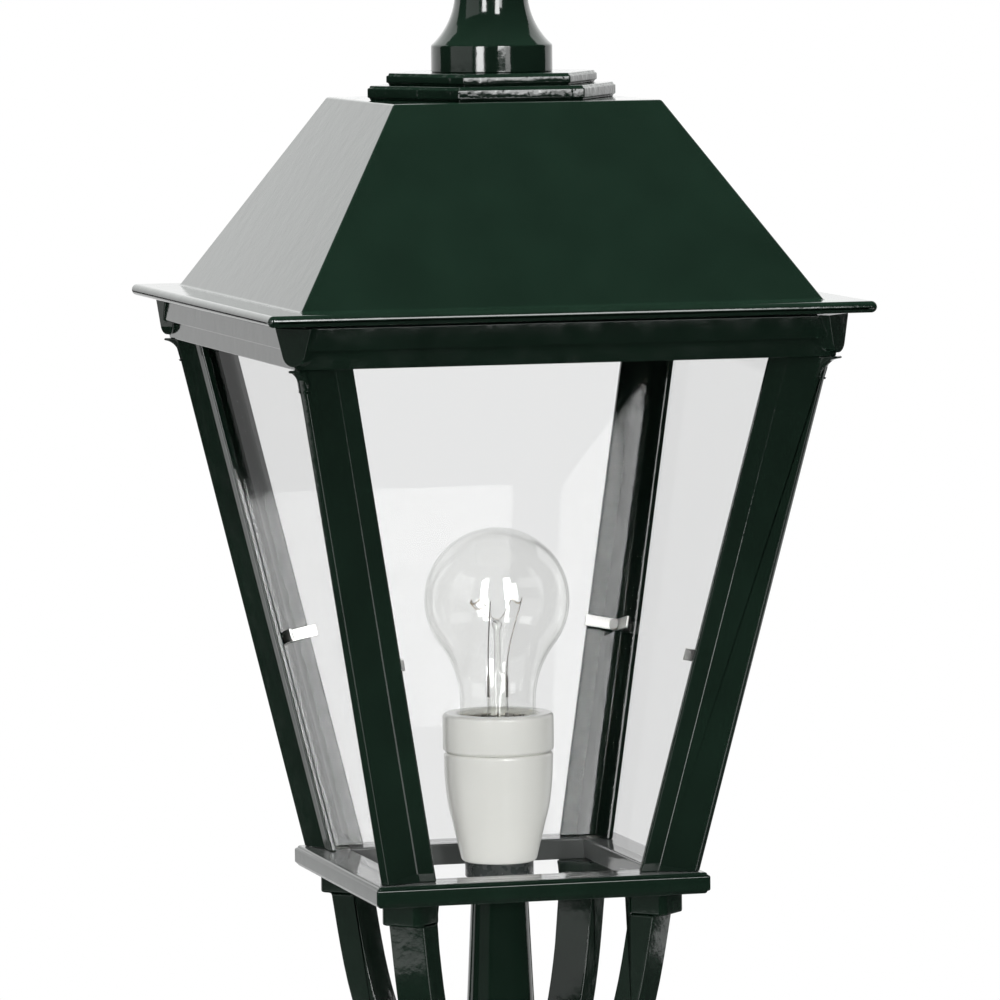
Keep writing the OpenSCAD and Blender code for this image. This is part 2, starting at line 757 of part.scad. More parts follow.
module roof() {
    edge = eave_half - eave_t / 2;
    inner_foot = roof_foot_half - roof_wall - 1;
    inner_top = roof_top_half - roof_wall;
    color(green) in_lantern() difference() {
        union() {
            slab(edge, eave_z, roof_z);
            for (a = [0:90:270]) rotate(a) {
                translate([edge, -edge, eave_z + eave_t / 2]) rotate([-90, 0, 0])
                    cylinder(r = eave_t / 2, h = 2 * edge);
                translate([edge, edge, eave_z + eave_t / 2]) sphere(r = eave_t / 2);
            }
            stump(roof_foot_half, roof_top_half, roof_z, roof_top);
            slab(lip_half, lip_z, eave_z + 1);
            for (s = [-1, 1]) translate([s * hinge_x, 0, 0]) hinge_eye(1);
        }
        slab(lip_half - 4, lip_z - 1, roof_z + 1);
        stump(inner_foot, inner_top, roof_z, roof_top - roof_wall);
        translate([0, 0, roof_top - 10]) cylinder(r = stud_r + 0.2, h = 20);
        translate([-80, hinge_y, hinge_z]) rotate([0, 90, 0])
            cylinder(r = hinge_pin_r + 0.05, h = 160);
    }
}

module finial_plate(r, t, z) {
    color(green) in_lantern() translate([0, 0, z]) difference() {
        union() {
            translate([0, 0, 1]) hex_prism(r, t - 2);
            hex_prism(r - 1, t);
        }
        translate([0, 0, -1]) cylinder(r = stud_r + 0.2, h = t + 2);
    }
}

module finial_plate_lower() { finial_plate(plate_low_r, plate_low_t, roof_top); }
module finial_plate_upper() { finial_plate(plate_high_r, plate_high_t, roof_top + plate_low_t); }

module finial() {
    color(green) in_lantern() translate([0, 0, finial_z]) {
        rotate_extrude() difference() {
            union() {
                square([finial_foot_r, cove_z]);
                square([finial_neck_r, cove_z + 10]);
                translate([0, cove_z + 4]) square([finial_neck_r + 3, 5]);
                translate([finial_neck_r + 2, cove_z + 6.5]) circle(r = 3.5);
                translate([0, cove_z + 8]) square([finial_neck_r - 3, 8]);
                translate([0, cove_z + 27]) circle(r = 18);
                translate([0, cove_z + 40]) square([5, 10]);
                translate([0, cove_z + 53]) circle(r = 7);
            }
            translate([-80, -1]) square([80, 140]);
            translate([finial_neck_r + cove_r, cove_z]) circle(r = cove_r);
        }
        translate([0, 0, -plate_low_t - plate_high_t - roof_wall - 12]) cylinder(r = stud_r, h = 30);
    }
}

module finial_nut() {
    color("silver") in_lantern() translate([0, 0, roof_top - roof_wall]) mirror([0, 0, 1]) difference() {
        union() {
            cylinder(r = 9, h = 1.6);
            translate([0, 0, 1.6]) hex_prism(7.5, 6.5);
        }
        translate([0, 0, -1]) cylinder(r = stud_r, h = 12);
    }
}

// ---------- lamp holder ----------

module holder_disc() {
    color("dimgray") in_lantern() translate([0, 0, disc_z]) difference() {
        cylinder(r = 14.2, h = holder_z - disc_z);
        translate([0, 0, -1]) cylinder(r = 5, h = 10);
    }
}

module holder_nipple() {
    color("goldenrod") in_lantern() translate([0, 0, disc_z - 14]) tube(5, 3.6, 14 + 22);
}

module holder_body() {
    color("ivory") in_lantern() difference() {
        rotate_extrude() difference() {
            polygon([[0, holder_z], [14, holder_z], [15.9, holder_z + 2], [19.8, holder_kink_z],
                     [20.8, 34], [21.6, 42], [holder_r - 0.9, ring_z], [0, ring_z]]);
            translate([-80, 0]) square([80, 100]);
        }
        translate([0, 0, holder_z - 1]) cylinder(r = 5, h = 16);
        translate([0, 0, 23]) cylinder(r = 13.5, h = 12);
        translate([0, 0, 38]) cylinder(r = 14.3, h = 20);
        translate([0, 0, 30]) cylinder(r = 4, h = 12);
    }
}

module holder_ring() {
    color("ivory") in_lantern() difference() {
        union() {
            translate([0, 0, ring_z]) cylinder(r = holder_r - 1.6, h = 3);
            translate([0, 0, ring_z + 2]) cylinder(r = holder_r, h = holder_top - ring_z - 3.2);
            translate([0, 0, holder_top - 1.2]) cylinder(r1 = holder_r, r2 = holder_r - 1.2, h = 1.2);
        }
        translate([0, 0, ring_z - 1]) cylinder(r = 14.3, h = 17.5);
        translate([0, 0, ring_z + 10]) cylinder(r = neck_r + 0.6, h = 20);
    }
}

module holder_shell() {
    color("goldenrod") in_lantern() translate([0, 0, 38]) difference() {
        cylinder(r = 14.3, h = 29);
        translate([0, 0, 1]) cylinder(r = 13.5, h = 30);
        translate([0, 0, -1]) cylinder(r = 6, h = 4);
    }
}

module holder_contact() {
    color("goldenrod") in_lantern() translate([0, 0, 32]) {
        cylinder(r = 6, h = 3);
        cylinder(r = 4, h = 6);
        cylinder(r = 2.5, h = 8);
        translate([0, 0, 7.5]) cylinder(r = 3.4, h = 2);
    }
}

// ---------- bulb ----------

module bulb_cap() {
    color("silver") in_lantern() translate([0, 0, cap_z]) difference() {
        union() {
            cylinder(r = 4.6, h = 3);
            translate([0, 0, 2]) cylinder(r1 = 8, r2 = 11.5, h = 3);
            translate([0, 0, 5]) cylinder(r = 12.3, h = 21.5);
            for (k = [0:4]) translate([0, 0, 6.2 + k * 3.6]) cylinder(r = cap_r, h = 1.9);
        }
        translate([0, 0, 6]) cylinder(r = 11.9, h = 30);
    }
}

// section of the bulb glass at one wall offset: neck, hollow curve and globe
function blend_points(offset) = [for (k = [0:10])
    let (top = atan2(globe_z - blend_z, neck_r + blend_r), a = k / 10 * top)
    [neck_r + blend_r - (blend_r + offset) * cos(a), blend_z + (blend_r + offset) * sin(a)]];
function globe_points(offset) = [for (k = [0:20])
    let (start = -atan2(globe_z - blend_z, neck_r + blend_r), a = start + k / 20 * (90 - start))
    [(globe_r - offset) * cos(a), globe_z + (globe_r - offset) * sin(a)]];
function bulb_section(offset, foot) = concat([[0, foot], [neck_r - offset, foot]],
    blend_points(offset), globe_points(offset));

module bulb_glass() {
    foot = cap_z + 27;
    color([0.9, 0.95, 1, 0.3]) in_lantern() difference() {
        union() {
            rotate_extrude() polygon(bulb_section(0, foot));
            translate([0, 0, foot - 4]) cylinder(r = 11.9, h = 4.2);
        }
        rotate_extrude() polygon(bulb_section(globe_wall, foot + 1));
    }
}

module bulb_stem() {
    foot = cap_z + 28;
    color([0.9, 0.95, 1, 0.3]) in_lantern() {
        translate([0, 0, foot]) cylinder(r1 = 9, r2 = 3.4, h = 8);
        translate([0, 0, foot]) cylinder(r = 3.4, h = 12);
        translate([-4.2, -1.6, foot + 11]) cube([8.4, 3.2, 5]);
        translate([0, 0, foot + 15]) cylinder(r = 1.3, h = 20);
        translate([0, 0, foot + 35]) sphere(r = 2.2);
    }
}

// two leads that bow out from the stem and the coiled wire between their tips
module bulb_filament() {
    z0 = cap_z + 44.2;
    z1 = 107.6;
    reach = 11;
    color("dimgray") in_lantern() {
        for (s = [-1, 1]) {
            rod([s * 3, 0, z0], [s * 3.4, 0, z0 + 10], 0.4);
            rod([s * 3.4, 0, z0 + 10], [s * reach, 0, z1 + 1], 0.4);
            rod([s * reach, 0, z1], [s * reach / 2, 0, z1 - 1.6], 0.35);
            rod([s * reach / 2, 0, z1 - 1.6], [0, 0, z1 - 0.4], 0.35);
        }
    }
}

// a round rod between two points of the front plane
module rod(a, b, r) {
    d = b - a;
    translate(a) rotate([0, atan2(d[0], d[2]), 0]) translate([0, 0, -r / 2])
        cylinder(r = r, h = norm(d) + r);
}

// the lead from the fuse box up through column and conduit to the holder
module lamp_cable() {
    r = 3.4;
    y = rail_y - 14;
    low = 280;
    rise = 60;
    color("black") {
        translate([0, y, box_z + 94]) cylinder(r = r, h = low - box_z - 94);
        translate([0, y, low]) sphere(r = r);
        translate([0, y, low]) rotate([atan2(y, rise), 0, 0]) cylinder(r = r, h = norm([y, rise]));
        translate([0, 0, low + rise]) sphere(r = r);
        translate([0, 0, low + rise]) cylinder(r = r, h = lantern_z + 22 - low - rise);
    }
}

// ---------- output ----------

foot_plate();
pedestal();
pedestal_cap();
pedestal_bolts();
service_door();
door_hinge_pins();
door_latch();
mounting_rail();
fuse_box();
fuse_box_cover();
fuse_box_screws();
earth_bolt();
column_foot();
column_foot_bolts();
lower_shaft();
shaft_collar();
upper_shaft();
neck_ring();
frog_hub();
hub_set_screws();
frog_arm_front_left();
frog_arm_front_right();
frog_arm_back_right();
frog_arm_back_left();
arm_screws();
conduit();
lantern_frame();
lug_screws();
bar_foot_screws();
corner_bar_front_left();
corner_bar_front_right();
corner_bar_back_right();
corner_bar_back_left();
glass_front();
glass_right();
glass_back();
glass_left();
glass_clips();
cornice();
cornice_screws();
roof_gasket();
roof_hinge_pins();
roof_clamp_screw();
roof();
finial_plate_lower();
finial_plate_upper();
finial();
finial_nut();
holder_disc();
holder_nipple();
holder_body();
holder_ring();
holder_shell();
holder_contact();
bulb_cap();
bulb_glass();
bulb_stem();
bulb_filament();
lamp_cable();
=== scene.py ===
import json
import math

import bmesh
import bpy
from mathutils import Matrix, Vector


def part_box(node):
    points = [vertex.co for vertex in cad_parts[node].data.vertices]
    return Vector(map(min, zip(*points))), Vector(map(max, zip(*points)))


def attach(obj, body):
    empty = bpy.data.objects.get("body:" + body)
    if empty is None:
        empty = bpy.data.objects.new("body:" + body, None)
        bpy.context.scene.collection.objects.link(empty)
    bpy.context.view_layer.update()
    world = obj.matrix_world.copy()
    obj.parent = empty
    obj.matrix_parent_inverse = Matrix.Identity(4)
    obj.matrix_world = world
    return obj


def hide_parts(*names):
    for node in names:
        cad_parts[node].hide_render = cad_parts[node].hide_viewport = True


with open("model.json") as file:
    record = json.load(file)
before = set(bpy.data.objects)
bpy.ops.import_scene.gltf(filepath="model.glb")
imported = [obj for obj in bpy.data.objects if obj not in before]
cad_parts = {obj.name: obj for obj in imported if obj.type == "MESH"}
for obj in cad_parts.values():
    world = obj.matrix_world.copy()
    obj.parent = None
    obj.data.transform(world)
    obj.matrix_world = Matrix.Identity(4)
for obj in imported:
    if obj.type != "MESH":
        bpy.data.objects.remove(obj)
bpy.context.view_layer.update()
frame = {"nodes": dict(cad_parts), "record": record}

bl_info = {
    "name": "Street Lamp Post",
    "version": (1, 0, 0),
    "blender": (4, 5, 0),
    "location": "View3D > Sidebar > Lamp Post",
    "description": "Builds the finished castings, glass, lamp and studio round a packed lamp post",
    "category": "Object",
}

MM = 0.001
BODY_OF = {n: body for body, nodes in frame["record"]["behaviour"]["bodies"].items() for n in nodes}
LANTERN_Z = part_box("lantern_frame")[0].z          # underside of the base frame
EYE_LEVEL = Vector((0, 0, LANTERN_Z + 150 * MM))  # middle of the lantern
# plates with openings: their flat faces can't be merged into one
PIERCED = ("lantern_frame", "finial_plate_lower", "finial_plate_upper", "pedestal_cap")

LIGHT_REACH = 2.2      # from the axis to the soft lights and the near panels
WALL_REACH = 2.6       # to the walls at the left
SWEEP_REACH = 4.0      # to the sweep at the back
SNOOT_REACH, SNOOT_RISE, SNOOT_ANGLE = 2.5, 0.42, 5.5
FILL = 0.62            # the world's light on everything that isn't polished
MIRRORED = 0.02        # what polished surfaces see of the world
FLOOR_MIRRORED = 0.05  # and of the floor

# name, degrees to the right of the camera, rise above the lantern, size, share of the soft light
LIGHTS = (("soft_left", 28, 0.7, 1.3, 1.3), ("soft_right", -28, 0.6, 1.3, 0.9),
          ("soft_left_low", 55, -0.9, 1.2, 0.55), ("soft_top", 0, 2.2, 2.2, 26.0))
SNOOTS = (("snoot_left", 12), ("snoot_right", -9))

# name, from and to in degrees round the axis from the camera, reach, low and high edge,
# and brightness at the foot and the head, where None is the brightness that the user sets
PANELS = (("panel_left", 15, 29, LIGHT_REACH, 1.45, 3.0, None, None),
          ("panel_right", -26, -12.5, LIGHT_REACH, 1.62, 3.25, None, None),
          ("glow_right", -35, -26, LIGHT_REACH, 1.70, 2.7, 11.0, 11.0),
          ("glow_plates", -35, -26, LIGHT_REACH, 1.52, 1.70, 5.0, 5.0),
          ("glow_low", -22, -12.5, LIGHT_REACH, 0.10, 0.5, 6.0, 6.0),
          ("glow_right_low", -62, -40, LIGHT_REACH, 0.05, 0.6, 2.2, 2.2),
          ("wall_left_high", 37, 84, WALL_REACH, 1.5, 3.4, 0.95, 0.95),
          ("wall_left", 37, 84, WALL_REACH, 0.75, 1.5, 0.2, 0.2),
          ("wall_left_low", 37, 84, WALL_REACH, 0.0, 0.75, 1.5, 1.5),
          ("sweep_back", 114, 237, SWEEP_REACH, 0.0, 5.0, 0.95, 1.5))


# ---------- properties ----------

class LampPostFinish(bpy.types.PropertyGroup):
    paint: bpy.props.FloatVectorProperty(
        name="Paint", description="Colour of the enamel on the castings", subtype="COLOR",
        size=3, min=0, max=1, default=(0.0050, 0.0128, 0.0080))
    paint_roughness: bpy.props.FloatProperty(
        name="Paint Roughness", description="Roughness of the enamel where it is smoothest",
        subtype="FACTOR", min=0, max=1, default=0.06)
    grain_depth: bpy.props.FloatProperty(
        name="Casting Grain", description="Depth of the sand casting grain under the enamel",
        min=0, max=0.01, default=0.00009, unit="LENGTH")
    peel_depth: bpy.props.FloatProperty(
        name="Orange Peel", description="Depth of the ripple in the sprayed enamel",
        min=0, max=0.01, default=0.00002, unit="LENGTH")
    porcelain: bpy.props.FloatVectorProperty(
        name="Porcelain", description="Colour of the glazed lamp holder", subtype="COLOR",
        size=3, min=0, max=1, default=(0.88, 0.885, 0.855))
    pane: bpy.props.FloatVectorProperty(
        name="Pane", description="Share of the light that one face of a pane lets through",
        subtype="COLOR", size=3, min=0, max=1, default=(0.948, 0.949, 0.949))
    steel: bpy.props.FloatVectorProperty(
        name="Steel", description="Colour of the zinc plated screws and bolts", subtype="COLOR",
        size=3, min=0, max=1, default=(0.60, 0.60, 0.58))
    brass: bpy.props.FloatVectorProperty(
        name="Brass", description="Colour of the brass parts", subtype="COLOR",
        size=3, min=0, max=1, default=(0.72, 0.52, 0.23))


class LampPostBulb(bpy.types.PropertyGroup):
    wall: bpy.props.FloatProperty(
        name="Globe Wall", description="Wall thickness of the blown globe",
        min=0.0003, max=0.002, default=0.0007, unit="LENGTH")
    ring_radius: bpy.props.FloatProperty(
        name="Coil Ring", description="Radius of the ring on which the coiled wire hangs",
        min=0.005, max=0.02, default=0.0108, unit="LENGTH")
    ring_rise: bpy.props.FloatProperty(
        name="Coil Height", description="Height of the coiled wire above the base frame",
        min=0.09, max=0.13, default=0.1165, unit="LENGTH")
    coil_radius: bpy.props.FloatProperty(
        name="Coil Radius", description="Radius of one turn of the coiled wire",
        min=0.0001, max=0.001, default=0.00022, unit="LENGTH")
    coil_turns: bpy.props.IntProperty(
        name="Coil Turns", description="Turns of the coiled wire", min=20, max=400, default=150)


class LampPostStage(bpy.types.PropertyGroup):
    azimuth: bpy.props.FloatProperty(
        name="Camera Azimuth", description="How far the camera stands to the left of the front",
        subtype="ANGLE", default=math.radians(15.25))
    distance: bpy.props.FloatProperty(
        name="Camera Distance", description="From the camera to the axis of the column",
        default=3.041, unit="LENGTH")
    aside: bpy.props.FloatProperty(
        name="Camera Aside", description="Sideways step of the camera", default=0.0017, unit="LENGTH")
    rise: bpy.props.FloatProperty(
        name="Camera Rise", description="Height of the camera above the base frame",
        default=0.417, unit="LENGTH")
    pitch: bpy.props.FloatProperty(
        name="Camera Pitch", description="How far the camera looks down",
        subtype="ANGLE", default=math.radians(4.867))
    roll: bpy.props.FloatProperty(
        name="Camera Roll", description="Roll of the camera about its view",
        subtype="ANGLE", default=math.radians(0.543))
    lens: bpy.props.FloatProperty(
        name="Lens", description="Focal length on a 36 mm sensor", default=265.8, unit="CAMERA")
    key: bpy.props.FloatProperty(
        name="Soft Light", description="Power of each soft light", default=6.0, unit="POWER")
    snoot: bpy.props.FloatProperty(
        name="Snoot", description="Power of each narrow lamp on the porcelain", default=106.0,
        unit="POWER")
    panel: bpy.props.FloatProperty(
        name="Panel Brightness", description="Brightness of the two tall light panels", default=20.0)


# ---------- node helpers ----------

def node_of(tree, kind, **inputs):
    """A new node whose sockets are set, or linked where the value is a socket."""
    node = tree.nodes.new("ShaderNode" + kind)
    for name, value in inputs.items():
        socket = node.inputs[name.replace("_", " ")]
        if isinstance(value, bpy.types.NodeSocket):
            tree.links.new(value, socket)
        else:
            socket.default_value = value
    return node


def math_of(tree, operation, a, b=0.0):
    node = tree.nodes.new("ShaderNodeMath")
    node.operation = operation
    for socket, value in zip(node.inputs, (a, b)):
        if isinstance(value, bpy.types.NodeSocket):
            tree.links.new(value, socket)
        else:
            socket.default_value = value
    return node.outputs[0]


def place_of(tree, stretch=(1, 1, 1)):
    """The object's own coordinates in metres, stretched along an axis where asked."""
    own = tree.nodes.new("ShaderNodeTexCoord")
    mapping = tree.nodes.new("ShaderNodeMapping")
    mapping.inputs["Scale"].default_value = stretch
    tree.links.new(own.outputs["Object"], mapping.inputs["Vector"])
    return mapping.outputs[0]


def noise_of(tree, place, per_metre, detail=2.0, roughness=0.5):
    node = node_of(tree, "TexNoise", Vector=place, Scale=per_metre, Detail=detail, Roughness=roughness)
    return node.outputs["Fac"]


def between(tree, factor, low, high, start=0.3, end=0.7):
    """A value from low to high as factor goes from start to end."""
    node = node_of(tree, "MapRange", Value=factor)
    for name, value in (("From Min", start), ("From Max", end), ("To Min", low), ("To Max", high)):
        node.inputs[name].default_value = value
    return node.outputs["Result"]


def blend_of(tree, factor, low, high):
    """A colour from low to high by factor."""
    ramp = tree.nodes.new("ShaderNodeValToRGB")
    ramp.color_ramp.elements[0].position, ramp.color_ramp.elements[1].position = 0.3, 0.7
    ramp.color_ramp.elements[0].color = (*low, 1)
    ramp.color_ramp.elements[1].color = (*high, 1)
    tree.links.new(factor, ramp.inputs["Fac"])
    return ramp.outputs["Color"]


def bumped(tree, height, depth, normal=None):
    node = node_of(tree, "Bump", Height=height, Distance=depth, Strength=1.0)
    if normal is not None:
        tree.links.new(normal, node.inputs["Normal"])
    return node.outputs["Normal"]


def scaled(colour, share):
    return tuple(min(1.0, c * share) for c in colour)


def blank(name):
    """A new material with an empty tree and its output node."""
    material = bpy.data.materials.new(name)
    material.use_nodes = True
    material.node_tree.nodes.clear()
    output = material.node_tree.nodes.new("ShaderNodeOutputMaterial")
    return material, material.node_tree, output


def surface(name, colour, vary=0.12, patch=40.0, roughness=(0.3, 0.45), metallic=0.0,
            bumps=((300.0, 0.00002),), stretch=(1, 1, 1), **constants):
    """A Principled material: mottled colour and roughness, and layers of bump by scale and depth."""
    material, tree, output = blank(name)
    shader = tree.nodes.new("ShaderNodeBsdfPrincipled")
    place = place_of(tree, stretch)
    mottle = noise_of(tree, place, patch, 3.0)
    tree.links.new(blend_of(tree, mottle, scaled(colour, 1 - vary), scaled(colour, 1 + vary)),
                   shader.inputs["Base Color"])
    tree.links.new(between(tree, noise_of(tree, place, patch * 3.1, 4.0), *roughness),
                   shader.inputs["Roughness"])
    normal = None
    for per_metre, depth in bumps:
        normal = bumped(tree, noise_of(tree, place, per_metre, 2.0), depth, normal)
    if normal is not None:
        tree.links.new(normal, shader.inputs["Normal"])
    shader.inputs["Metallic"].default_value = metallic
    for socket, value in constants.items():
        shader.inputs[socket.replace("_", " ")].default_value = value
    tree.links.new(shader.outputs[0], output.inputs["Surface"])
    return material


def pale_inside_painted_light(name, colour, painted_light_grey, reach, **looks):
    """The enamel painted paler on what lies nearer to the axis than reach: painted light, a grey standing
    in for the light that the inner walls and floor of the lantern reflect.
    """
    material = surface(name, colour, **looks)
    tree = material.node_tree
    shader = next(n for n in tree.nodes if n.type == "BSDF_PRINCIPLED")
    split = tree.nodes.new("ShaderNodeSeparateXYZ")
    tree.links.new(place_of(tree), split.inputs[0])
    away = math_of(tree, "MAXIMUM", math_of(tree, "ABSOLUTE", split.outputs["X"]),
                   math_of(tree, "ABSOLUTE", split.outputs["Y"]))
    # painted light: the colour turns to the pale grey inside the reach
    mix = tree.nodes.new("ShaderNodeMix")
    mix.data_type = "RGBA"
    tree.links.new(between(tree, away, 1.0, 0.0, reach, reach + 1 * MM), mix.inputs["Factor"])
    tree.links.new(shader.inputs["Base Color"].links[0].from_socket, mix.inputs["A"])
    mix.inputs["B"].default_value = (*painted_light_grey, 1)
    tree.links.new(mix.outputs["Result"], shader.inputs["Base Color"])
    return material


def clear(name, passes, edge, rough, smears=60.0, least=0.04, most=1.0, rim=3.0):
    """Thin clear glass: it passes what is behind it and mirrors more at a slant, duller at its edges."""
    material, tree, output = blank(name)
    facing = tree.nodes.new("ShaderNodeLayerWeight")
    facing.inputs["Blend"].default_value = 0.5
    smear = noise_of(tree, place_of(tree), smears, 3.0)
    tint = tree.nodes.new("ShaderNodeMix")
    tint.data_type = "RGBA"
    tint.inputs["A"].default_value = (*passes, 1)
    tint.inputs["B"].default_value = (*edge, 1)
    tree.links.new(math_of(tree, "POWER", facing.outputs["Facing"], rim), tint.inputs["Factor"])
    through = node_of(tree, "BsdfTransparent", Color=tint.outputs["Result"])
    mirror = node_of(tree, "BsdfGlossy", Roughness=between(tree, smear, rough, rough + 0.02))
    mirror.inputs["Color"].default_value = (1, 1, 1, 1)
    slant = math_of(tree, "POWER", facing.outputs["Facing"], 5.0)
    mix = tree.nodes.new("ShaderNodeMixShader")
    tree.links.new(between(tree, slant, least, most, 0.0, 1.0), mix.inputs[0])
    tree.links.new(through.outputs[0], mix.inputs[1])
    tree.links.new(mirror.outputs[0], mix.inputs[2])
    tree.links.new(mix.outputs[0], output.inputs["Surface"])
    return material


def materials():
    """All the finishes of the lamp post, made once and found again by name."""
    if "lamp_enamel" in bpy.data.materials:
        return {m.name.removeprefix("lamp_"): m for m in bpy.data.materials}
    look = bpy.context.scene.lamp_post_finish
    paint, peel, grain = tuple(look.paint), look.peel_depth, look.grain_depth
    rough = look.paint_roughness
    surface("lamp_enamel", paint, roughness=(rough, rough + 0.05),
            bumps=((90.0, grain), (420.0, peel)), IOR=1.48)
    surface("lamp_enamel_plate", paint, roughness=(rough, rough + 0.06),
            bumps=((170.0, 4.0 * grain), (420.0, 2.0 * peel)), IOR=1.48)
    # painted light: the frame is painted pale grey within 68 mm of the axis, in place of the light its
    # inner walls reflect
    pale_inside_painted_light("lamp_enamel_frame", paint, (0.105, 0.111, 0.108), 68 * MM, roughness=(rough, rough + 0.05),
           bumps=((90.0, grain), (420.0, peel)), IOR=1.48)
    surface("lamp_enamel_foot", paint, vary=0.18, roughness=(rough + 0.04, rough + 0.14),
            bumps=((70.0, 2.0 * grain), (420.0, 1.6 * peel)), IOR=1.5)
    surface("lamp_steel", tuple(look.steel), 0.10, 180.0, (0.24, 0.40), 1.0,
            ((2600.0, 0.000012),), (1, 1, 0.2))
    surface("lamp_brass", tuple(look.brass), 0.14, 140.0, (0.22, 0.38), 1.0, ((2200.0, 0.000012),))
    surface("lamp_cap", (0.62, 0.60, 0.56), 0.12, 220.0, (0.22, 0.36), 1.0, ((2400.0, 0.00001),))
    surface("lamp_wire", (0.36, 0.28, 0.25), 0.2, 900.0, (0.35, 0.5), 1.0, ((6000.0, 0.000004),))
    surface("lamp_coil", (0.50, 0.37, 0.18), 0.2, 2000.0, (0.4, 0.55), 1.0, ((9000.0, 0.000002),))
    surface("lamp_porcelain", tuple(look.porcelain), 0.02, 60.0, (0.12, 0.20), 0.0,
            ((110.0, 0.00004), (700.0, 0.000006)), IOR=1.45)
    surface("lamp_insulator", (0.012, 0.010, 0.016), 0.2, 300.0, (0.08, 0.16), 0.0,
            ((500.0, 0.00001),))
    surface("lamp_box", (0.27, 0.28, 0.29), 0.05, 90.0, (0.38, 0.50), 0.0, ((1500.0, 0.00003),))
    surface("lamp_rubber", (0.012, 0.012, 0.012), 0.2, 150.0, (0.55, 0.75), 0.0,
            ((900.0, 0.00003),))
    surface("lamp_sheath", (0.016, 0.016, 0.017), 0.15, 200.0, (0.40, 0.52), 0.0,
            ((1100.0, 0.00003),))
    surface("lamp_fitting", (0.020, 0.026, 0.024), 0.15, 120.0, (0.22, 0.34), 0.0,
            ((500.0, 0.00002),))
    pane = tuple(look.pane)
    clear("lamp_pane", pane, scaled(pane, 0.86), 0.0, least=0.006, most=0.2)
    clear("lamp_globe", (0.994, 0.995, 0.992), (0.60, 0.61, 0.59), 0.0, 90.0, most=0.5, rim=9.0)
    clear("lamp_stem", (0.975, 0.978, 0.97), (0.30, 0.29, 0.27), 0.02, 400.0, rim=2.5)
    return {m.name.removeprefix("lamp_"): m for m in bpy.data.materials}


# ---------- mesh helpers ----------

def piece_of(name, mesh, material, body, slot, *nodes):
    """A finished piece: shaded, painted, riding on its body and standing for its nodes."""
    piece = bpy.data.objects.new(name, mesh)
    bpy.context.scene.collection.objects.link(piece)
    mesh.materials.append(materials()[material])
    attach(piece, body)
    if nodes:
        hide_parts(*nodes)
    return piece


def smoothed(mesh, angle=28.0):
    mesh.shade_smooth()
    mesh.set_sharp_from_angle(angle=math.radians(angle))


def from_bmesh(bm, name, angle=28.0):
    bmesh.ops.recalc_face_normals(bm, faces=bm.faces)
    mesh = bpy.data.meshes.new(name)
    bm.to_mesh(mesh)
    bm.free()
    smoothed(mesh, angle)
    return mesh


def rounded_casting(node, radius, sharp):
    """The node's shape with its edges rounded off, as a new mesh."""
    bm = bmesh.new()
    bm.from_mesh(frame["nodes"][node].data)
    bmesh.ops.remove_doubles(bm, verts=bm.verts, dist=2e-6)
    if node not in PIERCED:
        bmesh.ops.dissolve_limit(bm, angle_limit=math.radians(0.6), verts=bm.verts, edges=bm.edges)
    edges = [e for e in bm.edges if len(e.link_faces) == 2
             and e.calc_face_angle(0) > math.radians(sharp)]
    bmesh.ops.bevel(bm, geom=edges, offset=radius, offset_type="OFFSET", segments=2, profile=0.5,
                    affect="EDGES", clamp_overlap=False, miter_outer="ARC", material=-1)
    return from_bmesh(bm, node + "_mesh", 40.0)


def castings(rows, sharp=28.0):
    """A rounded piece for each row of node, edge radius in mm, material and slot."""
    for node, radius, material, slot in rows:
        mesh = rounded_casting(node, radius * MM, sharp)
        piece = piece_of(node + "_finished", mesh, material, BODY_OF[node], slot, node)
        weigh = piece.modifiers.new("Flat Faces", "WEIGHTED_NORMAL")
        weigh.keep_sharp = True


def ring_of(bm, steps, wide, deep, height):
    """A level ring of points round the vertical axis."""
    turns = [2 * math.pi * k / steps for k in range(steps)]
    return [bm.verts.new((wide * math.cos(a), deep * math.sin(a), height)) for a in turns]


def skin(bm, rings):
    """Faces between neighbouring rings of as many points."""
    for low, high in zip(rings, rings[1:]):
        for k in range(len(low)):
            n = (k + 1) % len(low)
            bm.faces.new((low[k], low[n], high[n], high[k]))


def turned(profile, steps, name):
    """A closed solid turned about the vertical axis from (radius, height) points in metres."""
    bm = bmesh.new()
    rings = [ring_of(bm, steps, radius, radius, height) if radius > 1e-7
             else [bm.verts.new((0, 0, height))] for radius, height in profile]
    pairs = list(zip(rings, rings[1:]))
    if len(rings[0]) > 1 and len(rings[-1]) > 1:
        pairs.append((rings[-1], rings[0]))
    for low, high in pairs:
        for k in range(steps):
            n = (k + 1) % steps
            if len(low) == 1 and len(high) == 1:
                break
            if len(low) == 1:
                bm.faces.new((low[0], high[n], high[k]))
            elif len(high) == 1:
                bm.faces.new((low[k], low[n], high[0]))
            else:
                bm.faces.new((low[k], low[n], high[n], high[k]))
    return from_bmesh(bm, name)


def arc(centre, radius, start, end, steps=6):
    """Points of an arc in the (radius, height) plane, angles in degrees."""
    return [(centre[0] + radius * math.cos(math.radians(start + (end - start) * k / steps)),
             centre[1] + radius * math.sin(math.radians(start + (end - start) * k / steps)))
            for k in range(steps + 1)]


def in_lantern(points):
    """Points given in mm above the base frame, as metres in the row frame."""
    return [(r * MM, LANTERN_Z + z * MM) for r, z in points]


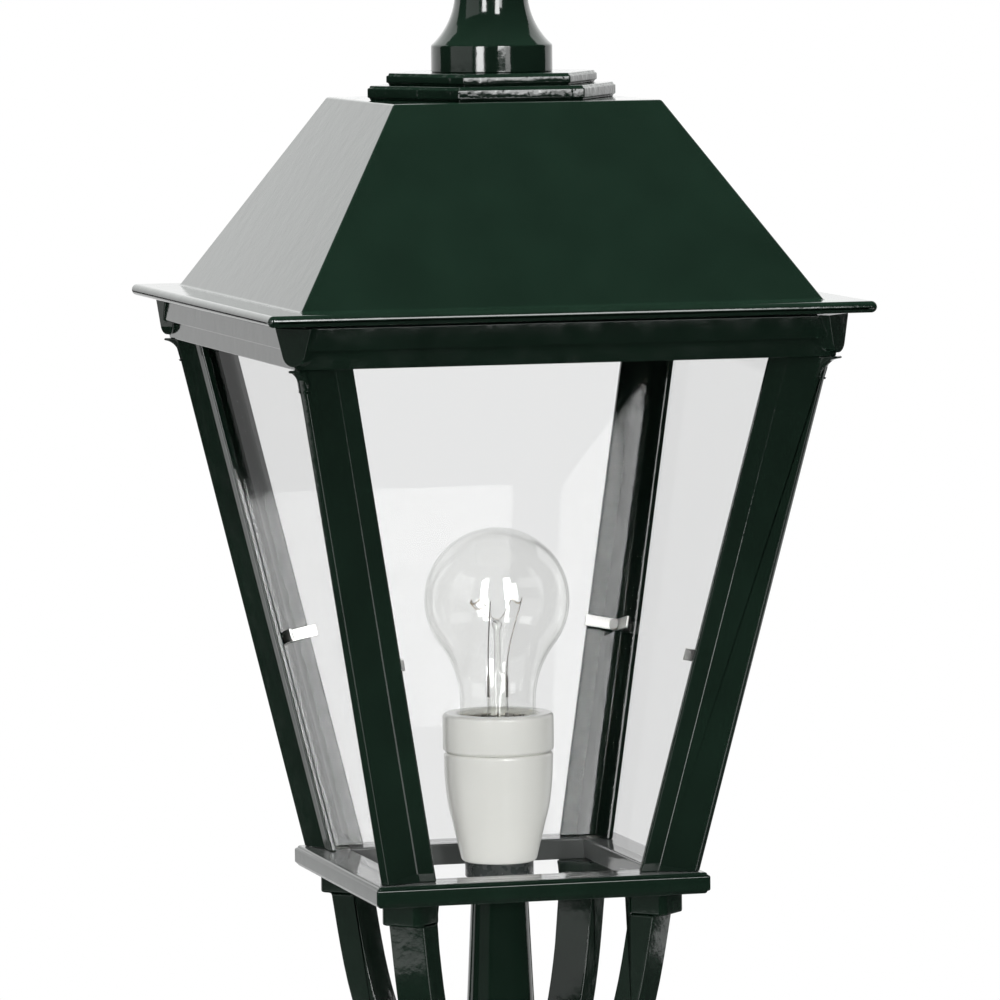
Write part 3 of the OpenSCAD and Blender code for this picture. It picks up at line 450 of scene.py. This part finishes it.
def wire(name, points, radius, material, body, slot, *nodes, sides=3, cyclic=False, smooth=True):
    """A round wire along points, as a curve turned into a mesh."""
    curve = bpy.data.curves.new(name, "CURVE")
    curve.dimensions = "3D"
    curve.bevel_depth = radius
    curve.bevel_resolution = sides
    curve.use_fill_caps = True
    for line in points:
        spline = curve.splines.new("NURBS" if smooth else "POLY")
        spline.points.add(len(line) - 1)
        for target, p in zip(spline.points, line):
            target.co = (*p, 1)
        spline.use_endpoint_u = True
        spline.order_u = 4
        spline.resolution_u = 4
        spline.use_cyclic_u = cyclic
    holder = bpy.data.objects.new(name + "_curve", curve)
    bpy.context.scene.collection.objects.link(holder)
    bpy.context.view_layer.update()
    graph = bpy.context.evaluated_depsgraph_get()
    mesh = bpy.data.meshes.new_from_object(holder.evaluated_get(graph))
    bpy.data.objects.remove(holder)
    mesh.name = name + "_mesh"
    mesh.materials.clear()
    smoothed(mesh, 60.0)
    return piece_of(name, mesh, material, body, slot, *nodes)


def on_circle(radius, degrees, height):
    a = math.radians(degrees)
    return Vector((radius * math.cos(a), radius * math.sin(a), height))


# ---------- operators ----------

class LAMPPOST_OT_stage(bpy.types.Operator):
    """Pale floor, soft lights, light panels for the gloss, and the camera"""
    bl_idname = "lamppost.stage"
    bl_label = "Studio"

    def execute(self, context):
        stage = context.scene.lamp_post_stage
        context.scene.view_settings.view_transform = "Standard"
        context.scene.cycles.transparent_max_bounces = 32
        away = Vector((-math.sin(stage.azimuth), -math.cos(stage.azimuth), 0))
        self.make_camera(context, stage, away)
        self.make_world(context)
        self.make_floor()
        for name, side, up, size, share in LIGHTS:
            self.make_light(context, name, away, side, up, size, stage.key * share)
        for name, side in SNOOTS:
            self.make_snoot(context, name, away, side, stage.snoot)
        for *place, dim, bright in PANELS:
            self.make_panel(context, away, *place, dim or stage.panel, bright or stage.panel)
        return {"FINISHED"}

    def make_camera(self, context, stage, away):
        right = Vector((math.cos(stage.azimuth), -math.sin(stage.azimuth), 0))
        cos_p, sin_p = math.cos(stage.pitch), math.sin(stage.pitch)
        forward = -away * cos_p - Vector((0, 0, sin_p))
        up = -away * sin_p + Vector((0, 0, cos_p))
        rolled_right = right * math.cos(stage.roll) - up * math.sin(stage.roll)
        rolled_up = right * math.sin(stage.roll) + up * math.cos(stage.roll)
        data = bpy.data.cameras.new("camera")
        data.sensor_width = 36
        data.lens = stage.lens
        data.clip_end = 200
        camera = bpy.data.objects.new("camera", data)
        context.scene.collection.objects.link(camera)
        turn = Matrix((rolled_right, rolled_up, -forward)).transposed().to_4x4()
        spot = away * stage.distance + right * stage.aside + Vector((0, 0, LANTERN_Z + stage.rise))
        camera.matrix_world = Matrix.Translation(spot) @ turn
        context.scene.camera = camera

    def make_world(self, context):
        """White to the eye, dim to polished surfaces, and a soft fill for everything else."""
        world = bpy.data.worlds.new("studio")
        world.use_nodes = True
        tree = world.node_tree
        tree.nodes.clear()
        path = tree.nodes.new("ShaderNodeLightPath")
        seen = math_of(tree, "MULTIPLY", path.outputs["Is Camera Ray"], 1.0 - FILL)
        mirrored = math_of(tree, "MULTIPLY", path.outputs["Is Glossy Ray"], MIRRORED - FILL)
        strength = math_of(tree, "ADD", math_of(tree, "ADD", seen, mirrored), FILL)
        background = node_of(tree, "Background", Strength=strength)
        background.inputs["Color"].default_value = (1, 1, 1, 1)
        output = tree.nodes.new("ShaderNodeOutputWorld")
        tree.links.new(background.outputs[0], output.inputs["Surface"])
        context.scene.world = world

    def make_floor(self):
        """A pale round floor that fades into the white round it."""
        bm = bmesh.new()
        bmesh.ops.create_circle(bm, cap_ends=True, radius=7.0, segments=96)
        floor = bpy.data.objects.new("floor", from_bmesh(bm, "floor_mesh"))
        bpy.context.scene.collection.objects.link(floor)
        material, tree, output = blank("studio_floor")
        own = tree.nodes.new("ShaderNodeTexCoord")
        reach = tree.nodes.new("ShaderNodeVectorMath")
        reach.operation = "LENGTH"
        tree.links.new(own.outputs["Object"], reach.inputs[0])
        fade = between(tree, reach.outputs["Value"], 0.0, 1.0, 0.9, 4.5)
        paper = tree.nodes.new("ShaderNodeBsdfDiffuse")
        mottle = noise_of(tree, own.outputs["Object"], 5.0, 3.0)
        tree.links.new(blend_of(tree, mottle, (0.80, 0.80, 0.795), (0.83, 0.83, 0.825)),
                       paper.inputs["Color"])
        path = tree.nodes.new("ShaderNodeLightPath")
        seen = between(tree, path.outputs["Is Camera Ray"], 0.25, 1.0, 0, 1)
        glow = node_of(tree, "Emission", Strength=seen)
        mix = tree.nodes.new("ShaderNodeMixShader")
        tree.links.new(fade, mix.inputs[0])
        tree.links.new(paper.outputs[0], mix.inputs[1])
        tree.links.new(glow.outputs[0], mix.inputs[2])
        dull = tree.nodes.new("ShaderNodeMixShader")
        dim = node_of(tree, "Emission", Strength=FLOOR_MIRRORED)
        tree.links.new(path.outputs["Is Glossy Ray"], dull.inputs[0])
        tree.links.new(mix.outputs[0], dull.inputs[1])
        tree.links.new(dim.outputs[0], dull.inputs[2])
        tree.links.new(dull.outputs[0], output.inputs["Surface"])
        floor.data.materials.append(material)

    def make_light(self, context, name, away, side, up, size, power):
        """A soft light that shades but isn't mirrored."""
        data = bpy.data.lights.new(name, "AREA")
        data.size = size
        data.energy = power
        light = bpy.data.objects.new(name, data)
        context.scene.collection.objects.link(light)
        reach = 0.0 if name == "soft_top" else LIGHT_REACH
        spot = EYE_LEVEL + Matrix.Rotation(math.radians(-side), 3, "Z") @ away * reach + Vector((0, 0, up))
        aim = EYE_LEVEL + Vector((0, 0, -0.15)) - spot
        light.matrix_world = Matrix.Translation(spot) @ aim.to_track_quat("-Z", "Y").to_matrix().to_4x4()
        light.visible_camera = False
        light.visible_glossy = False

    def make_snoot(self, context, name, away, side, power):
        """A narrow lamp through the front pane on the porcelain."""
        data = bpy.data.lights.new(name, "SPOT")
        data.energy = power
        data.spot_size = math.radians(SNOOT_ANGLE)
        data.spot_blend = 0.8
        data.shadow_soft_size = 0.12
        light = bpy.data.objects.new(name, data)
        context.scene.collection.objects.link(light)
        target = Vector((0, 0, LANTERN_Z + 40 * MM))
        spot = (target + Matrix.Rotation(math.radians(-side), 3, "Z") @ away * SNOOT_REACH
                + Vector((0, 0, SNOOT_RISE)))
        light.matrix_world = (Matrix.Translation(spot)
                              @ (target - spot).to_track_quat("-Z", "Y").to_matrix().to_4x4())
        light.visible_camera = light.visible_glossy = False

    def make_panel(self, context, away, name, start, end, reach, low, high, dim, bright):
        """A curved light panel round the axis that only polished surfaces see."""
        bm = bmesh.new()
        steps = max(2, int(abs(end - start) / 5))
        rows = []
        for k in range(steps + 1):
            turn = Matrix.Rotation(math.radians(-(start + (end - start) * k / steps)), 3, "Z")
            p = turn @ away * reach
            rows.append((bm.verts.new((p.x, p.y, low)), bm.verts.new((p.x, p.y, high))))
        for a, b in zip(rows, rows[1:]):
            bm.faces.new((a[0], b[0], b[1], a[1]))
        panel = bpy.data.objects.new(name, from_bmesh(bm, name + "_mesh"))
        context.scene.collection.objects.link(panel)
        material, tree, output = blank(name)
        own = tree.nodes.new("ShaderNodeTexCoord")
        split = tree.nodes.new("ShaderNodeSeparateXYZ")
        tree.links.new(own.outputs["Object"], split.inputs[0])
        glow = node_of(tree, "Emission", Strength=between(tree, split.outputs["Z"], dim, bright, 1.35, 2.3))
        tree.links.new(glow.outputs[0], output.inputs["Surface"])
        panel.data.materials.append(material)
        panel.visible_camera = panel.visible_diffuse = False
        panel.visible_transmission = panel.visible_shadow = False


class LAMPPOST_OT_lantern(bpy.types.Operator):
    """Base frame, corner bars, cornice and roof of the lantern"""
    bl_idname = "lamppost.lantern"
    bl_label = "Lantern Castings"

    def execute(self, context):
        bars = [n for n in frame["nodes"] if n.startswith("corner_bar_")]
        castings([("lantern_frame", 0.8, "enamel_frame", "green_casting"),
                  ("cornice", 0.5, "enamel", "green_casting"),
                  ("roof", 0.9, "enamel", "green_casting")])
        castings([(n, 0.6, "enamel", "green_casting") for n in sorted(bars)], 15.0)
        return {"FINISHED"}


class LAMPPOST_OT_finial(bpy.types.Operator):
    """Hexagonal plates and the turned finial"""
    bl_idname = "lamppost.finial"
    bl_label = "Finial"

    def execute(self, context):
        castings([("finial_plate_lower", 0.5, "enamel_plate", "green_casting"),
                  ("finial_plate_upper", 0.5, "enamel_plate", "green_casting"),
                  ("finial", 0.5, "enamel", "green_casting")])
        return {"FINISHED"}


class LAMPPOST_OT_frog(bpy.types.Operator):
    """The four arms, their hub and the conduit up the middle"""
    bl_idname = "lamppost.frog"
    bl_label = "Frog"

    def execute(self, context):
        arms = [n for n in frame["nodes"] if n.startswith("frog_arm_")]
        castings([(n, 0.9, "enamel", "green_casting") for n in sorted(arms)]
                 + [("frog_hub", 0.8, "enamel", "green_casting"),
                    ("conduit", 0.6, "enamel", "green_casting")])
        return {"FINISHED"}


class LAMPPOST_OT_column(bpy.types.Operator):
    """Shafts, collar and rings of the column"""
    bl_idname = "lamppost.column"
    bl_label = "Column"

    def execute(self, context):
        castings([("neck_ring", 0.6, "enamel", "green_casting"),
                  ("upper_shaft", 0.6, "enamel", "green_casting"),
                  ("shaft_collar", 0.6, "enamel", "green_casting"),
                  ("lower_shaft", 0.5, "enamel", "green_casting"),
                  ("column_foot", 0.6, "enamel_foot", "green_foot")])
        return {"FINISHED"}


class LAMPPOST_OT_pedestal(bpy.types.Operator):
    """Foot plate, pedestal, cap and service door"""
    bl_idname = "lamppost.pedestal"
    bl_label = "Pedestal"

    def execute(self, context):
        castings([("foot_plate", 1.0, "enamel_foot", "green_foot"),
                  ("pedestal", 0.8, "enamel_foot", "green_foot"),
                  ("pedestal_cap", 1.0, "enamel_foot", "green_foot"),
                  ("service_door", 0.6, "enamel_foot", "green_foot")])
        return {"FINISHED"}


class LAMPPOST_OT_panes(bpy.types.Operator):
    """The four glass panes with ground edges"""
    bl_idname = "lamppost.panes"
    bl_label = "Panes"

    def execute(self, context):
        castings([("glass_" + side, 0.3, "pane", "pane_glass")
                  for side in ("front", "right", "back", "left")])
        return {"FINISHED"}


class LAMPPOST_OT_fittings(bpy.types.Operator):
    """Screws, bolts, pins and clips"""
    bl_idname = "lamppost.fittings"
    bl_label = "Fittings"

    def execute(self, context):
        steel = ("pedestal_bolts", "door_hinge_pins", "door_latch", "column_foot_bolts", "hub_set_screws",
                 "arm_screws", "lug_screws", "bar_foot_screws", "glass_clips", "cornice_screws",
                 "roof_hinge_pins", "finial_nut", "mounting_rail", "fuse_box_screws")
        brass = ("earth_bolt", "roof_clamp_screw", "holder_nipple")
        castings([(n, 0.2, "steel", "steel") for n in steel] + [(n, 0.2, "brass", "brass") for n in brass])
        return {"FINISHED"}


class LAMPPOST_OT_service(bpy.types.Operator):
    """Fuse box with its cover, the roof gasket and the holder disc"""
    bl_idname = "lamppost.service"
    bl_label = "Service Parts"

    def execute(self, context):
        castings([("fuse_box", 0.4, "box", "grey_plastic"),
                  ("fuse_box_cover", 0.6, "box", "grey_plastic"),
                  ("roof_gasket", 0.2, "rubber", "black_rubber"),
                  ("holder_disc", 0.5, "fitting", "dark_fitting")])
        return {"FINISHED"}


class LAMPPOST_OT_holder(bpy.types.Operator):
    """Porcelain body and ring of the lamp holder, with its brass shell and contact"""
    bl_idname = "lamppost.holder"
    bl_label = "Lamp Holder"

    def execute(self, context):
        body = ([(5.05, 22.9), (5.05, 8.0)] + arc((13.9, 10.0), 2.0, -90, -12, 6)
                + [(19.6, 25.6), (19.85, 26.3), (20.6, 29.5), (21.3, 33.0), (21.9, 38.0), (22.4, 44.0)]
                + arc((21.2, 52.1), 1.4, 0, 85, 6) + [(14.4, 53.6), (14.35, 38.05), (4.05, 38.05),
                (4.05, 35.05), (13.4, 35.0), (13.4, 23.0)])
        ring = ([(14.4, 53.65)] + [(21.3, 53.65), (21.5, 53.9), (21.6, 54.1)]
                + arc((21.7, 55.4), 1.3, -80, 0, 6) + arc((21.2, 68.1), 1.8, 0, 90, 8)
                + [(18.2, 69.9), (17.2, 69.5)] + arc((17.4, 68.1), 1.2, 100, 180, 4)
                + [(16.2, 61.6), (14.4, 61.4)])
        shell = [(14.2, 38.1), (14.2, 66.8), (13.8, 66.8), (13.6, 39.0), (6.1, 39.0), (6.1, 38.1)]
        for name, profile, node, material, slot in (
                ("holder_body_glazed", body, "holder_body", "porcelain", "porcelain"),
                ("holder_ring_glazed", ring, "holder_ring", "porcelain", "porcelain"),
                ("holder_shell_pressed", shell, "holder_shell", "brass", "brass")):
            mesh = turned(in_lantern(profile), 128, name)
            piece_of(name, mesh, material, BODY_OF[node], slot, node)
        castings([("holder_contact", 0.2, "brass", "brass")])
        return {"FINISHED"}


class LAMPPOST_OT_bulb(bpy.types.Operator):
    """Blown globe, screw cap, glass stem and coiled wire of the bulb"""
    bl_idname = "lamppost.bulb"
    bl_label = "Bulb"

    def execute(self, context):
        look = context.scene.lamp_post_bulb
        body = BODY_OF["bulb_glass"]
        globe_low, globe_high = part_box("bulb_glass")
        globe_r = globe_high.x / MM
        centre = (globe_high.z - LANTERN_Z) / MM - globe_r
        cap_foot = (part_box("bulb_cap")[0].z - LANTERN_Z) / MM
        self.make_globe(look, body, globe_r, centre, cap_foot + 23.0)
        self.make_cap(body, cap_foot)
        self.make_stem(body, cap_foot + 24.0)
        self.make_wires(look, body, cap_foot)
        return {"FINISHED"}

    def make_globe(self, look, body, radius, centre, foot):
        """The globe runs through a hollow curve into a straight neck."""
        neck, blend = 15.6, 40.0
        drop = math.sqrt((radius + blend) ** 2 - (neck + blend) ** 2)
        turn = math.degrees(math.atan2(drop, neck + blend))
        wall = look.wall / MM
        outer = ([(11.6, foot), (neck, foot + 3.4)]
                 + arc((neck + blend, centre - drop), blend, 180, 180 - turn, 16)[1:]
                 + arc((0, centre), radius, -turn, 90, 40)[1:-1] + [(0, centre + radius)])
        inner = ([(0, centre + radius - wall)] + arc((0, centre), radius - wall, 90, -turn, 40)[1:]
                 + arc((neck + blend, centre - drop), blend + wall, 180 - turn, 180, 16)[1:]
                 + [(neck - wall, foot + 3.8), (11.6 - wall, foot + 0.6)])
        mesh = turned(in_lantern(outer + inner), 128, "bulb_globe_mesh")
        piece_of("bulb_globe", mesh, "globe", body, "bulb_glass", "bulb_glass")

    def make_cap(self, body, foot):
        """A rolled thread in the thin shell, a dark glass insulator and a soldered tip."""
        bm = bmesh.new()
        steps, pitch, low, high = 72, 3.62, foot + 5.4, foot + 26.4
        turns = (high - low) / pitch
        rings = 96
        grid = []
        for j in range(rings + 1):
            z = low + (high - low) * j / rings
            row = []
            for k in range(steps):
                wave = math.cos(2 * math.pi * ((z - low) / pitch - k / steps))
                fade = min(1.0, 4 * min(j / rings, 1 - j / rings))
                r = 12.55 + 0.5 * wave * fade
                a = 2 * math.pi * k / steps
                row.append(bm.verts.new((r * MM * math.cos(a), r * MM * math.sin(a), LANTERN_Z + z * MM)))
            grid.append(row)
        for r, z in in_lantern(((11.4, low - 0.9), (9.2, low - 2.2))):
            grid.insert(0, ring_of(bm, steps, r, r, z))
        skin(bm, grid)
        bmesh.ops.solidify(bm, geom=bm.faces, thickness=0.3 * MM)
        piece_of("bulb_cap_shell", from_bmesh(bm, "bulb_cap_mesh", 50.0), "cap", body, "cap_metal",
                 "bulb_cap")
        insulator = [(0, foot + 3.4), (9.3, foot + 3.2), (8.2, foot + 2.4), (5.2, foot + 1.3),
                     (0, foot + 1.2)]
        piece_of("bulb_insulator", turned(in_lantern(insulator), 64, "bulb_insulator_mesh"), "insulator",
                 body, "cap_metal")
        tip = [(0, foot + 1.6), (4.6, foot + 1.5), (4.5, foot + 0.6), (2.6, foot + 0.05), (0, foot)]
        piece_of("bulb_contact", turned(in_lantern(tip), 48, "bulb_contact_mesh"), "cap", body, "cap_metal")

    def make_stem(self, body, foot):
        """Flare, pinch, exhaust tube and button, in clear glass."""
        bm = bmesh.new()
        rows = ((9.2, 9.2, 0.0), (5.6, 5.6, 1.0), (4.5, 4.5, 2.4), (4.2, 4.2, 9.0),
                (4.2, 3.4, 11.5), (4.3, 2.3, 14.5),
                (4.5, 1.8, 17.5), (4.3, 1.7, 19.5), (2.4, 1.5, 20.8), (1.35, 1.3, 22.0), (1.25, 1.25, 38.0),
                (1.5, 1.5, 39.0), (2.1, 2.1, 40.0), (2.15, 2.15, 41.0), (1.6, 1.6, 42.2), (0.5, 0.5, 42.7))
        rings = [ring_of(bm, 40, wide * MM, deep * MM, LANTERN_Z + (foot + up) * MM)
                 for wide, deep, up in rows]
        skin(bm, rings)
        bm.faces.new(rings[0][::-1])
        bm.faces.new(rings[-1])
        piece = piece_of("bulb_stem_blown", from_bmesh(bm, "bulb_stem_mesh", 60.0), "stem", body,
                         "bulb_glass", "bulb_stem")
        piece.data.transform(Matrix.Rotation(math.radians(-20), 4, "Z"))

    def make_wires(self, look, body, cap_foot):
        """Two leads from the pinch, three supports from the button and the coiled wire on them."""
        base = LANTERN_Z + cap_foot * MM
        top = LANTERN_Z + look.ring_rise
        ring = look.ring_radius
        pinch = base + 43.5 * MM
        button = base + 65.2 * MM
        leads = []
        for start, angle in ((160, 240), (-20, 2)):
            foot = on_circle(3.6 * MM, start, pinch - 9 * MM)
            bend = on_circle(3.7 * MM, start, pinch + 2 * MM)
            middle = on_circle(4.2 * MM, start + (angle - start) * 0.3, pinch + 10 * MM)
            tip = on_circle(ring, angle, top)
            leads.append([foot, bend, middle, middle.lerp(tip, 0.55), tip, tip + Vector((0, 0, 0.6 * MM))])
        wire("bulb_leads", leads, 0.26 * MM, "wire", body, "wire", "bulb_filament")
        seals = [[on_circle(3.9 * MM, start, pinch - up * MM) for up in (9.0, 6.0, 3.0, 0.2)]
                 for start in (160, -20)]
        wire("bulb_seals", seals, 0.5 * MM, "wire", body, "wire", sides=2)
        supports = []
        stops, sags = (2, 40, 110, 175, 240), (2.0, 9.0, 2.0, 3.0)
        for angle in stops[1:-1]:
            root = Vector((0, 0, button))
            out = on_circle(ring * 0.5, angle, button + 3.0 * MM)
            supports.append([root, out, on_circle(ring * 0.97, angle, top - 0.5 * MM),
                             on_circle(ring, angle, top + 0.5 * MM)])
        wire("bulb_supports", supports, 0.11 * MM, "wire", body, "wire", sides=2)
        points, per_turn, turns = [], 7, look.coil_turns // len(sags)
        for first, last, sag in zip(stops, stops[1:], sags):
            for k in range(turns * per_turn):
                share = k / (turns * per_turn)
                swing = 2 * math.pi * k / per_turn
                points.append(on_circle(ring + look.coil_radius * math.cos(swing),
                                        first + (last - first) * share,
                                        top - sag * MM * 4 * share * (1 - share)
                                        + look.coil_radius * math.sin(swing)))
        wire("bulb_coil", [points], 0.04 * MM, "coil", body, "wire", sides=1, smooth=False)


class LAMPPOST_OT_cable(bpy.types.Operator):
    """The lead from the fuse box up through the column to the holder"""
    bl_idname = "lamppost.cable"
    bl_label = "Inner Lead"

    def execute(self, context):
        low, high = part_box("lamp_cable")
        x, y = 0.0, high.y - 3.4 * MM
        rise = low.z + 76 * MM
        points = [(x, y, low.z), (x, y, low.z + 30 * MM), (x, y, rise - 12 * MM), (x, y, rise),
                  (x, y * 0.75, rise + 22 * MM), (x, y * 0.25, rise + 42 * MM), (x, 0, rise + 62 * MM),
                  (x, 0, rise + 100 * MM)]
        points += [(0, 0, rise + 100 * MM + (high.z - rise - 100 * MM) * k / 6) for k in range(1, 7)]
        wire("lamp_lead", [points], 3.3 * MM, "sheath", BODY_OF["lamp_cable"], "cable_sheath", "lamp_cable",
             sides=5)
        return {"FINISHED"}


class LAMPPOST_PT_sidebar(bpy.types.Panel):
    """The steps of the lamp post and the values a user would change"""
    bl_idname = "LAMPPOST_PT_sidebar"
    bl_label = "Lamp Post"
    bl_space_type = "VIEW_3D"
    bl_region_type = "UI"
    bl_category = "Lamp Post"

    def draw(self, context):
        for group in (context.scene.lamp_post_finish, context.scene.lamp_post_bulb,
                      context.scene.lamp_post_stage):
            box = self.layout.box()
            for name in group.bl_rna.properties.keys():
                if name not in ("rna_type", "name"):
                    box.prop(group, name)
        for operator in OPERATORS:
            self.layout.operator(operator.bl_idname)


OPERATORS = (LAMPPOST_OT_stage, LAMPPOST_OT_lantern, LAMPPOST_OT_finial, LAMPPOST_OT_frog,
             LAMPPOST_OT_column, LAMPPOST_OT_pedestal, LAMPPOST_OT_panes, LAMPPOST_OT_fittings,
             LAMPPOST_OT_service, LAMPPOST_OT_holder, LAMPPOST_OT_bulb, LAMPPOST_OT_cable)
GROUPS = {"lamp_post_finish": LampPostFinish, "lamp_post_bulb": LampPostBulb,
          "lamp_post_stage": LampPostStage}


def register():
    for kind in (*GROUPS.values(), *OPERATORS, LAMPPOST_PT_sidebar):
        bpy.utils.register_class(kind)
    for name, group in GROUPS.items():
        setattr(bpy.types.Scene, name, bpy.props.PointerProperty(type=group))


def unregister():
    for name in GROUPS:
        delattr(bpy.types.Scene, name)
    for kind in reversed((*GROUPS.values(), *OPERATORS, LAMPPOST_PT_sidebar)):
        bpy.utils.unregister_class(kind)


def main():
    register()
    for operator in OPERATORS:
        group, name = operator.bl_idname.split(".")
        getattr(getattr(bpy.ops, group), name)()


if __name__ == "__main__":
    main()
